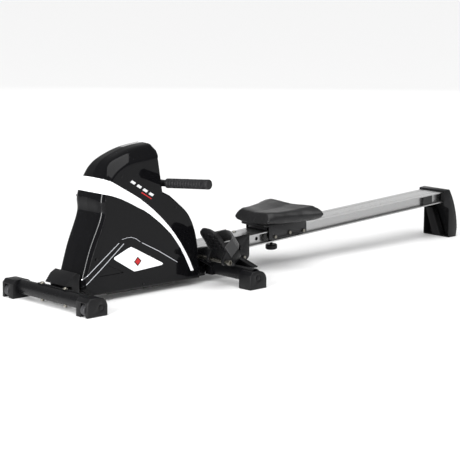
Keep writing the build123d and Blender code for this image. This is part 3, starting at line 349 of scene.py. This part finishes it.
# in mm: middle of the casing, then the crease beside it with its half width, then the edge of the flat side
SHELL = [
    ((112, 27), (112, 27, 62), (116, 30)),
    ((593, 23), (593, 23, 70), (590, 27)),
    ((588, 107), (588, 107, 70), (584, 107)),
    ((573, 191), (573, 191, 70), (569, 190)),
    ((540, 259), (540, 259, 70), (537, 256)),
    ((488, 307), (488, 307, 70), (485, 303)),
    ((451, 336), (451, 336, 70), (448, 332)),
    ((420, 350), (420, 350, 70), (416, 349)),
    ((412, 398), (412, 398, 70), (408, 398)),
    ((401, 467), (401, 467, 69), (397, 458)),
    ((404, 500), (404, 499, 52), (397, 476)),
    ((391, 517), (392, 515, 44), (382, 474)),
    ((345, 514), (345, 511, 42), (337, 469)),
    ((300, 507), (300, 503, 42), (293, 466)),
    ((259, 494), (258, 490, 42), (250, 456)),
    ((222, 480), (223, 475, 44), (216, 438)),
    ((200, 466), (202, 460, 48), (199, 421)),
    ((182, 446), (186, 440, 53), (188, 405)),
    ((158, 400), (164, 398, 60), (176, 380)),
    ((146, 345), (148, 345, 61), (162, 342)),
    ((146, 292), (147, 291, 61), (162, 288)),
    ((100, 187), (102, 187, 61), (120, 185)),
    ((66, 88), (69, 88, 59), (84, 88)),
    ((70, 52), (72, 52, 57), (84, 54)),
]
CORNERS = {0, 1, 6, 7, 8, 10, 11, 22, 23}
SHELL_STEPS = 6
SIDE_HALF = 75.0
TAPER_AT, TAPER = 150.0, 0.09   # in front of this station the flat side comes in by TAPER mm a mm
CASING_WALL = 3.0
HUB = Vector((330, 0, 270))     # seen from the flat side's edge, its last ring lies towards this point
EDGE_WIDTH = 12                 # and this far in
ROUNDING = (15, 7)              # how far the curves at the crease and at the edge reach


def eased(points, cuts, arc=4):
    """The run of points, with a short curve in place of each inner corner."""
    out = [points[0]]
    for i, cut in enumerate(cuts, 1):
        a, b, c = points[i - 1], points[i], points[i + 1]
        start = b + (a - b).normalized() * min(cut, (a - b).length * 0.45)
        end = b + (c - b).normalized() * min(cut, (c - b).length * 0.45)
        for k in range(arc + 1):
            t = k / arc
            out.append(start * (1 - t) ** 2 + b * 2 * t * (1 - t) + end * t ** 2)
    out.append(points[-1])
    return out


def side_half(x):
    """Half width of the flat side; it narrows towards the nose."""
    return SIDE_HALF - max(0.0, TAPER_AT - x) * TAPER


def shell_half(hand, gap=0.15):
    mids = curve_through([Vector((a[0], 0, a[1])) for a, _, _ in SHELL], CORNERS, SHELL_STEPS)
    creases = curve_through([Vector((b[0], b[2], b[1])) for _, b, _ in SHELL], CORNERS, SHELL_STEPS)
    edges = curve_through([Vector((c[0], 0, c[1])) for _, _, c in SHELL], CORNERS, SHELL_STEPS)
    bm = bmesh.new()
    rings = []
    for mid, crease, edge in zip(mids, creases, edges):
        mid = Vector((mid.x, gap, mid.z))
        edge = Vector((edge.x, side_half(edge.x), edge.z))
        inner = edge + Vector((HUB.x - edge.x, 0, HUB.z - edge.z)).normalized() * EDGE_WIDTH
        inner.y = side_half(inner.x)
        path = [mid, mid.lerp(crease, 0.34), mid.lerp(crease, 0.68)]
        path += eased([mid, crease, edge, inner], ROUNDING)[1:]
        # built on one flat side; the taper towards the nose is put in afterwards
        rings.append([bm.verts.new(place(p.x, hand * p.y * SIDE_HALF / side_half(p.x), p.z)) for p in path])
    count = len(rings)
    for i in range(count):
        j = (i + 1) % count
        for k in range(len(rings[0]) - 1):
            bm.faces.new((rings[i][k], rings[j][k], rings[j][k + 1], rings[i][k + 1]))
    bm.faces.new([ring[-1] for ring in rings])
    taper_start = place(TAPER_AT, 0, 0)
    geometry = bm.verts[:] + bm.edges[:] + bm.faces[:]
    bmesh.ops.bisect_plane(bm, geom=geometry, dist=ON_PLANE, plane_co=taper_start, plane_no=(1, 0, 0))
    for vert in bm.verts:
        station = TAPER_AT + (vert.co.x - taper_start.x) * 1000
        vert.co.y *= side_half(station) / SIDE_HALF
    bmesh.ops.triangulate(bm, faces=[f for f in bm.faces if len(f.verts) > 4])
    bmesh.ops.remove_doubles(bm, verts=bm.verts, dist=WELD)
    obj = finish_mesh("shell_half", bm, "gloss_casing", 30.0)
    normal_y = sum(f.normal.y * f.area for f in obj.data.polygons if abs(f.normal.y) > 0.9)
    if normal_y * hand < 0:
        obj.data.flip_normals()
    return obj


def thickened(obj, name, slot_name, thickness, outward):
    """A copy of a skin, given a wall of thickness mm on its outer or inner side."""
    copy = add_object(name, obj.data.copy(), slot_name)
    mod = copy.modifiers.new("wall", "SOLIDIFY")
    mod.thickness = thickness / 1000
    mod.offset = 1.0 if outward else -1.0
    bake(copy)
    return copy


# the white band: its upper edge and the lower edge across from it
BAND = [
    ((96, 430), (96, 380)), ((150, 424), (152, 370)), ((190, 407), (190, 360)), ((218, 392), (218, 350)),
    ((246, 376), (231, 345)), ((281, 357), (268, 328)), ((316, 336), (302, 310)), ((345, 315), (331, 296)),
    ((373, 294), (359, 279)), ((399, 272), (383, 261)), ((424, 249), (407, 243)), ((451, 222), (431, 222)),
    ((476, 193), (457, 198)), ((500, 162), (480, 170)), ((521, 131), (499, 145)), ((542, 96), (522, 107)),
    ((562, 56), (549, 56)),
]
DIAMOND = [(274, 175), (261, 172), (202, 149), (199, 143), (204, 139), (279, 94), (288, 89), (299, 89),
           (410, 95), (418, 98), (414, 103), (290, 168)]
TRIMS = [
    ([(70, 85), (148, 145), (221, 195)], 1.1),
    ([(67, 56), (154, 124), (243, 191)], 1.1),
    ([(323, 184), (402, 144), (486, 95)], 0.9),
    ([(234, 206), (254, 209), (275, 209), (297, 201), (315, 188)], 0.6),
]
RECESS = [(137, 91), (141, 90), (238, 90), (242, 92), (176, 125), (171, 125)]


def ribbon(points, half):
    """The cells of a line in the side view, widened by half on either side."""
    sides = []
    for i, at in enumerate(points):
        a, b = Vector(points[max(i - 1, 0)]), Vector(points[min(i + 1, len(points) - 1)])
        run = (b - a).normalized() * half
        sides.append(((at[0] - run.y, at[1] + run.x), (at[0] + run.y, at[1] - run.x)))
    return cells_between(sides)


def cells_between(pairs):
    """Four-sided cells between two edges that are given as pairs of points."""
    return [[a[0], b[0], b[1], a[1]] for a, b in zip(pairs, pairs[1:])]


def patch(skin, name, cells, slot_name, proud):
    """The part of a skin that lies within side-view cells, raised off it by proud mm."""
    whole = bmesh.new()
    for cell in cells:
        corners = [place(x, 0, z) for x, z in cell]
        middle = sum(corners, Vector()) / len(corners)
        bm = bmesh.new()
        bm.from_mesh(skin.data)
        for a, b in zip(corners, corners[1:] + corners[:1]):
            normal = Vector((b.z - a.z, 0, a.x - b.x)).normalized()
            if normal.dot(middle - a) > 0:
                normal = -normal
            geometry = bm.verts[:] + bm.edges[:] + bm.faces[:]
            bmesh.ops.bisect_plane(bm, geom=geometry, dist=ON_PLANE, plane_co=a, plane_no=normal,
                                   clear_outer=True)
        piece = bpy.data.meshes.new("cell")
        bm.to_mesh(piece)
        bm.free()
        whole.from_mesh(piece)
        bpy.data.meshes.remove(piece)
    bmesh.ops.remove_doubles(whole, verts=whole.verts, dist=2e-5)
    bmesh.ops.dissolve_limit(whole, angle_limit=math.radians(0.4), verts=whole.verts, edges=whole.edges)
    mesh = bpy.data.meshes.new(name)
    whole.to_mesh(mesh)
    whole.free()
    flat = add_object(name + "_flat", mesh, slot_name)
    raised = thickened(flat, name, slot_name, proud, True)
    discard(flat)
    smooth_by_angle(raised, 32.0)
    return raised


for hand, name in ((-1, "left"), (1, "right")):
    skin = shell_half(hand)
    shell = thickened(skin, f"casing_shell_{name}", "gloss_casing", CASING_WALL, False)
    # openings for the frame and for the strap, then the recessed triangle
    for outline, y0, y1 in (
        ([(500, 70), (640, 70), (640, 141), (500, 135)], -59.6, 59.6),
        ([(40, -10), (640, -10), (640, 57), (40, 57)], -25.6, 25.6),
        ([(100, 10), (565, 10), (565, 34), (100, 34)], -60, 60),
        ([(395, 368), (440, 368), (440, 381), (395, 381)], -18, 18),
        (RECESS, *sorted((hand * 71, hand * 80))),
    ):
        cutter = prism(outline, y0, y1)
        cut_away(shell, cutter)
        discard(cutter)
    smooth_by_angle(shell, 32.0)
    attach(shell, "frame")
    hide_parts(f"casing_{name}")
    floor_of_recess = prism([(130, 87), (248, 87), (250, 93), (178, 129), (168, 129)],
                            *sorted((hand * 69.9, hand * 70.9)), name=f"recess_{name}")
    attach(floor_of_recess, "frame")

    accents = [(f"band_{name}", cells_between(BAND), "white_plastic", 1.3, "white_accents")]
    accents += [(f"side_panel_{name}", [DIAMOND], "white_plastic", 1.3, None)]
    accents += [(f"side_trim_{name}_{k}", ribbon(line, half), "bright_trim", 0.6, "trim_strips")
                for k, (line, half) in enumerate(TRIMS, 1)]
    for label, cells, slot_name, proud, node in accents:
        accent = patch(skin, label, cells, slot_name, proud)
        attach(accent, "frame")
        if node:
            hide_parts(node)
    discard(skin)


# ---- plain marks: slanted bars on the casing's side and a lozenge on its panel ----
def bar_mark(x, z, length, height, lean=0.45, fall=-31.0):
    """A leaning bar, set along a line that falls towards the rear."""
    turn = math.radians(fall)
    corners = [(0, 0), (length, 0), (length + lean * height, height), (lean * height, height)]
    return [(x + a * math.cos(turn) - b * math.sin(turn), z + a * math.sin(turn) + b * math.cos(turn))
            for a, b in corners]


MAT["mark_red"] = plain("mark_red", (0.42, 0.012, 0.015), 0.3, 0.0, 0.0, 400.0, 0.02, 0.04)
MAT["mark_grey"] = plain("mark_grey", (0.62, 0.63, 0.64), 0.3, 0.0, 0.0, 400.0, 0.02, 0.04)
LOZENGE_AT = (303, 122)
BARS_AT, BAR_STEP = (272, 398), (27, -16.2)
MARK_TOP = SIDE_HALF + 0.25
for hand, name in ((-1, "left"), (1, "right")):
    marks = [(bar_mark(BARS_AT[0] + BAR_STEP[0] * k, BARS_AT[1] + BAR_STEP[1] * k, 20, 9), "mark_grey",
              SIDE_HALF, MARK_TOP) for k in range(4)]
    marks += [(bar_mark(320, 357, 52, 3.5), "mark_red", SIDE_HALF, MARK_TOP)]
    for reach, colour, low, high in ((17, "gloss_casing", 76.2, 76.7), (12, "mark_red", 76.6, 77.0)):
        x, z = LOZENGE_AT
        marks.append(([(x - reach, z), (x, z - reach), (x + reach, z), (x, z + reach)], colour, low, high))
    for number, (outline, colour, low, high) in enumerate(marks, 1):
        mark = prism(outline, *sorted((hand * low, hand * high)), name=f"mark_{name}_{number}")
        paint(mark, colour)
        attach(mark, "frame")

# ---- moulded and bent pieces with eased edges ----
for node, width, body in (
    ("front_caps", 2.5, "frame"), ("mid_caps", 2.5, "frame"), ("nose_cover", 2.0, "frame"),
    ("rear_foot", 2.5, "rail"), ("seat_carriage", 0.8, "seat"), ("seat_board", 1.5, "seat"),
    ("post_plates", 0.8, "frame"), ("cross_members", 0.8, "frame"), ("rail_bracket", 0.8, "rail"),
    ("footplate_left", 1.6, "pedal_left"), ("footplate_right", 1.6, "pedal_right"),
    ("rail_stops", 1.5, "rail"), ("handle_rest", 1.0, "frame"), ("strap_clip", 1.0, "handle"),
):
    softened(node, width, body)

# ---- seat cushion: a wide moulded pad, dished on top, with drooping flared sides ----
# along the pad: how far from front to rear, then (y, w) down one side, from the middle of the top to the
# underside
PAD_SHAPE = [
    (0.00, [(0, 110), (58, 113), (74, 113), (86, 101), (91, 90), (87, 82), (52, 73), (0, 71)]),
    (0.12, [(0, 109), (66, 115), (84, 114), (94, 101), (97, 88), (91, 79), (58, 71), (0, 71)]),
    (0.38, [(0, 107), (86, 113), (104, 107), (111, 95), (107, 81), (97, 72), (72, 71), (0, 71)]),
    (0.65, [(0, 107), (100, 114), (126, 103), (132, 90), (121, 76), (109, 69), (86, 71), (0, 71)]),
    (0.86, [(0, 110), (112, 117), (150, 101), (156, 91), (135, 74), (116, 68), (94, 71), (0, 71)]),
    (1.00, [(0, 114), (121, 121), (160, 103), (168, 92), (146, 76), (122, 68), (98, 71), (0, 71)]),
]
PAD_FRONT, PAD_REAR, PAD_RAKE = 98.0, 326.0, 0.5
PAD_UNDERSIDE = 71
PAD_RINGS = 18
CLOTH_FRAMES = 20


def between(s):
    """The pad's half outline at s, from 0 at its front to 1 at its rear."""
    for (s0, low), (s1, high) in zip(PAD_SHAPE, PAD_SHAPE[1:]):
        if s <= s1:
            t = (s - s0) / (s1 - s0)
            t = t * t * (3 - 2 * t) * 0.5 + t * 0.5
            return [Vector(a).lerp(Vector(b), t) for a, b in zip(low, high)]
    return [Vector(p) for p in PAD_SHAPE[-1][1]]


def pad_mesh():
    bm = bmesh.new()
    rings = []
    for k in range(PAD_RINGS + 1):
        s = k / PAD_RINGS
        one = between(s)
        line = [one[0]]
        for a, b, c in zip(one, one[1:], one[2:]):
            line += [a.lerp(b, 0.5), b.lerp(a, 0.22) * 0.5 + b.lerp(c, 0.22) * 0.5]
        line.append(one[-1])
        ring = line + [Vector((-p.x, p.y)) for p in reversed(line[1:-1])]
        u = PAD_FRONT + (PAD_REAR - PAD_FRONT) * s
        rake = PAD_RAKE * max(0.0, 1 - s * 3)
        rings.append([bm.verts.new(on_rail(u + rake * (p.y - PAD_UNDERSIDE), p.x, p.y)) for p in ring])
    for a, b in zip(rings, rings[1:]):
        for k in range(len(a)):
            j = (k + 1) % len(a)
            bm.faces.new((a[k], a[j], b[j], b[k]))
    bm.faces.new(rings[0])
    bm.faces.new(list(reversed(rings[-1])))
    bmesh.ops.triangulate(bm, faces=bm.faces)
    return finish_mesh("pad_core", bm, "seat_cover", 180.0)


def inflate(obj, pressure, limit, voxel):
    """Cloth pressure swells the pad by limit mm at most, then relax evens it out."""
    remesh = obj.modifiers.new("remesh", "REMESH")
    remesh.mode = "VOXEL"
    remesh.voxel_size = voxel / 1000
    bake(obj)
    start = [v.co.copy() for v in obj.data.vertices]
    cloth = obj.modifiers.new("cloth", "CLOTH")
    cloth.settings.use_pressure = True
    cloth.settings.uniform_pressure_force = pressure
    cloth.settings.effector_weights.gravity = 0.0
    cloth.point_cache.frame_start, cloth.point_cache.frame_end = 1, CLOTH_FRAMES
    for step in range(1, CLOTH_FRAMES + 1):
        SCENE.frame_set(step)
    bake(obj)
    SCENE.frame_set(1)
    for v, at in zip(obj.data.vertices, start):
        moved = v.co - at
        if moved.length > limit / 1000:
            v.co = at + moved.normalized() * limit / 1000
    relax(obj.data, 0.4)


def relax(mesh, factor):
    """Moves each point towards the mean of its neighbours."""
    sums = [Vector() for _ in mesh.vertices]
    counts = [0] * len(mesh.vertices)
    for edge in mesh.edges:
        a, b = edge.vertices
        sums[a] += mesh.vertices[b].co
        sums[b] += mesh.vertices[a].co
        counts[a] += 1
        counts[b] += 1
    for v, total, count in zip(mesh.vertices, sums, counts):
        v.co = v.co.lerp(total / max(count, 1), factor)


pad = pad_mesh()
pad.name = "seat_pad"
inflate(pad, 4.0, 2.0, 3.6)
sub = pad.modifiers.new("sub", "SUBSURF")
sub.levels = 1
sub.render_levels = 1
bake(pad)
for face in pad.data.polygons:
    face.use_smooth = True
paint(pad, "seat_cover")
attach(pad, "seat")
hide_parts("seat_cushion")

# ---- pull strap: over the guide roller and out through the casing ----
def strip(name, route, half, thick, slot_name, steps=8):
    """A flat strap along a side-view route."""
    fine = []
    for a, b in zip(route, route[1:]):
        fine += [Vector(a).lerp(Vector(b), k / steps) for k in range(steps)]
    fine.append(Vector(route[-1]))
    bm = bmesh.new()
    rings = []
    for i, at in enumerate(fine):
        run = (fine[min(i + 1, len(fine) - 1)] - fine[max(i - 1, 0)]).normalized() * thick / 2
        rings.append([bm.verts.new(place(at.x - run.y * e, y, at.y + run.x * e))
                      for y, e in ((-half, -1), (half, -1), (half, 1), (-half, 1))])
    for a, b in zip(rings, rings[1:]):
        for k in range(4):
            j = (k + 1) % 4
            bm.faces.new((a[k], a[j], b[j], b[k]))
    bm.faces.new(rings[0])
    bm.faces.new(list(reversed(rings[-1])))
    return finish_mesh(name, bm, slot_name)


STRAP_ROUTE = [(305, 358.7), (366, 371.2), (377, 374.1), (392, 374.4), (427, 374.6)]
strap = strip("pull_webbing", STRAP_ROUTE, 12.5, 1.6, "strap_webbing")
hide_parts("pull_strap")
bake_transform(strap)


# ---- handle grips: foam sleeves with rounded ends and shallow rings ----
HANDLE_X, HANDLE_Z = 446, 374
STRAIGHT_HALF, SWEPT_RUN = 44.0, 199.0      # the bar is straight, then sweeps over this much of its width
SWEEP_BACK, SWEEP_UP = 30, 15
GRIP_FROM, GRIP_TO = 62, 248
GRIP_R, GROOVE_R, GROOVE_PITCH = 17.0, 16.5, 12.0


def handle_at(y):
    past = max(0.0, abs(y) - STRAIGHT_HALF) / SWEPT_RUN
    return place(HANDLE_X + SWEEP_BACK * past, y, HANDLE_Z + SWEEP_UP * past)


def turned(name, start, end, profile, slot_name, sides=28):
    """A round piece along a line, from (distance in mm, radius in mm) pairs."""
    axis = (end - start).normalized()
    across = axis.cross(Vector((0, 0, 1))).normalized()
    lift = across.cross(axis)
    bm = bmesh.new()
    rings = []
    for run, radius in profile:
        at = start + axis * run / 1000
        rings.append([bm.verts.new(at + (across * math.cos(2 * math.pi * k / sides)
                                         + lift * math.sin(2 * math.pi * k / sides)) * radius / 1000)
                      for k in range(sides)])
    for a, b in zip(rings, rings[1:]):
        for k in range(sides):
            j = (k + 1) % sides
            bm.faces.new((a[k], a[j], b[j], b[k]))
    bm.faces.new(rings[0])
    bm.faces.new(list(reversed(rings[-1])))
    return finish_mesh(name, bm, slot_name, 50.0)


for hand, name in ((-1, "left"), (1, "right")):
    start, end = handle_at(hand * GRIP_FROM), handle_at(hand * GRIP_TO)
    length = (end - start).length * 1000
    profile = [(0, 13.5), (0.8, 15.4), (2.5, 16.6), (4.5, GRIP_R)]
    run = 14.0
    while run < length - 30:
        profile += [(run, GRIP_R), (run + 0.6, GROOVE_R), (run + 1.4, GROOVE_R), (run + 2.0, GRIP_R)]
        run += GROOVE_PITCH
    profile += [(length - 14, GRIP_R), (length - 13.4, 16.2), (length - 12.4, 16.2), (length - 11.8, 17.3),
                (length - 4, 17.3), (length - 1.6, 16.2), (length - 0.4, 13.6), (length, 9.0)]
    grip = turned(f"grip_{name}", start, end, profile, "grip_foam")
    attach(grip, "handle")
    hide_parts("grips")

# ---- pedals: tread on the sole and stiffening ribs under it ----
PEDAL_TILT = math.radians(51.5)
PEDAL_Y = 150.0
SOLE_X, SOLE_Z = 556, 217       # the toe end of the sole, where run and off are 0
HEEL_WARD = Vector((math.cos(PEDAL_TILT), 0, -math.sin(PEDAL_TILT)))
OFF_SOLE = Vector((math.sin(PEDAL_TILT), 0, math.cos(PEDAL_TILT)))


def on_sole(run, y, off):
    """The point run mm towards the heel, y across and off above the sole."""
    return place(SOLE_X, y, SOLE_Z) + (HEEL_WARD * run + OFF_SOLE * off) / 1000


def sole_blocks(name, blocks, y_mid, body, slot_name):
    """Boxes on or under a sole, each (run from, run to, y from, y to, off from, off to)."""
    bm = bmesh.new()
    for r0, r1, y0, y1, f0, f1 in blocks:
        v = [bm.verts.new(on_sole(r, y_mid + y, f)) for r in (r0, r1) for y in (y0, y1) for f in (f0, f1)]
        for face in ((0, 1, 3, 2), (4, 6, 7, 5), (0, 4, 5, 1), (2, 3, 7, 6), (0, 2, 6, 4), (1, 5, 7, 3)):
            bm.faces.new([v[k] for k in face])
    obj = finish_mesh(name, bm, slot_name)
    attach(obj, body)
    return obj


for hand, name in ((-1, "left"), (1, "right")):
    y_mid, body = hand * PEDAL_Y, f"pedal_{name}"
    tread = [(r, r + 3.5, -34, 34, -0.5, 1.4) for r in range(30, 152, 9)]
    sole_blocks(f"sole_tread_{name}", tread, y_mid, body, "black_plastic")
    ribs = [(r, r + 3, -38, 38, -13.5, -8.5) for r in (34, 50, 66, 82)]
    ribs += [(24, 94, y, y + 3, -14.5, -8.5) for y in (-30, -2, 27)]
    sole_blocks(f"sole_ribs_{name}", ribs, y_mid, body, "black_plastic")

# ---- floor, light, camera ----
FLOOR = 60.0    # half its side, in metres
floor_mesh = bpy.data.meshes.new("floor")
floor_mesh.from_pydata([(-FLOOR, -FLOOR, 0), (FLOOR, -FLOOR, 0), (FLOOR, FLOOR, 0), (-FLOOR, FLOOR, 0)], [],
                       [(0, 1, 2, 3)])
floor = bpy.data.objects.new("floor", floor_mesh)
SCENE.collection.objects.link(floor)
floor_mesh.materials.append(shader("pale_floor", (0.9, 0.9, 0.9), 0.55)[0])

world = bpy.data.worlds.new("studio")
SCENE.world = world
world.use_nodes = True
world.node_tree.nodes["Background"].inputs["Color"].default_value = (1, 1, 1, 1)
world.node_tree.nodes["Background"].inputs["Strength"].default_value = 0.35


def softbox(name, at, aim, size, power, mirrored=True):
    """An area light that the camera can't see; mirrored says whether gloss shows it."""
    light = bpy.data.lights.new(name, "AREA")
    light.shape = "RECTANGLE"
    light.size, light.size_y = size
    light.energy = power
    obj = bpy.data.objects.new(name, light)
    obj.location = at
    obj.rotation_euler = (Vector(aim) - Vector(at)).to_track_quat("-Z", "Y").to_euler()
    obj.visible_camera = False
    obj.visible_glossy = mirrored
    SCENE.collection.objects.link(obj)


softbox("strip", (-4.6, -1.5, 1.2), (-0.7, 0, 0.3), (0.9, 2.6), 260)
softbox("side", (-0.2, -4.2, 1.6), (0, 0, 0.3), (3.4, 1.6), 20, False)
softbox("low", (-1.4, -4.4, 0.9), (-0.7, 0, 0.3), (0.3, 1.6), 14)
softbox("back", (4.6, 4.4, 1.5), (0.4, 0, 0.2), (4.0, 1.4), 20)
sun = bpy.data.lights.new("overhead", "SUN")
sun.energy = 2.6
sun.angle = math.radians(60)
sun_object = bpy.data.objects.new("overhead", sun)
sun_object.rotation_euler = (math.radians(16), math.radians(-8), 0)
SCENE.collection.objects.link(sun_object)

# the view that was fitted to the photograph
VIEW_AZ, VIEW_EL, VIEW_ROLL = math.radians(-43.53), math.radians(10.24), math.radians(0.4)
CAMERA_AT = (-4.6059, -4.6615, 1.3215)
CAMERA_LENS = 140.87
camera_data = bpy.data.cameras.new("camera")
camera_data.sensor_width = 36.0
camera_data.lens = CAMERA_LENS
camera_data.clip_end = 200.0
camera = bpy.data.objects.new("camera", camera_data)
back = Vector((math.sin(VIEW_AZ) * math.cos(VIEW_EL), -math.cos(VIEW_AZ) * math.cos(VIEW_EL),
               math.sin(VIEW_EL)))
right = Vector((0, 0, 1)).cross(back).normalized()
basis = Matrix((right, back.cross(right), back)).transposed().to_4x4()
camera.matrix_world = Matrix.Translation(CAMERA_AT) @ basis @ Matrix.Rotation(VIEW_ROLL, 4, "Z")
SCENE.collection.objects.link(camera)
SCENE.camera = camera
SCENE.view_settings.view_transform = "Standard"
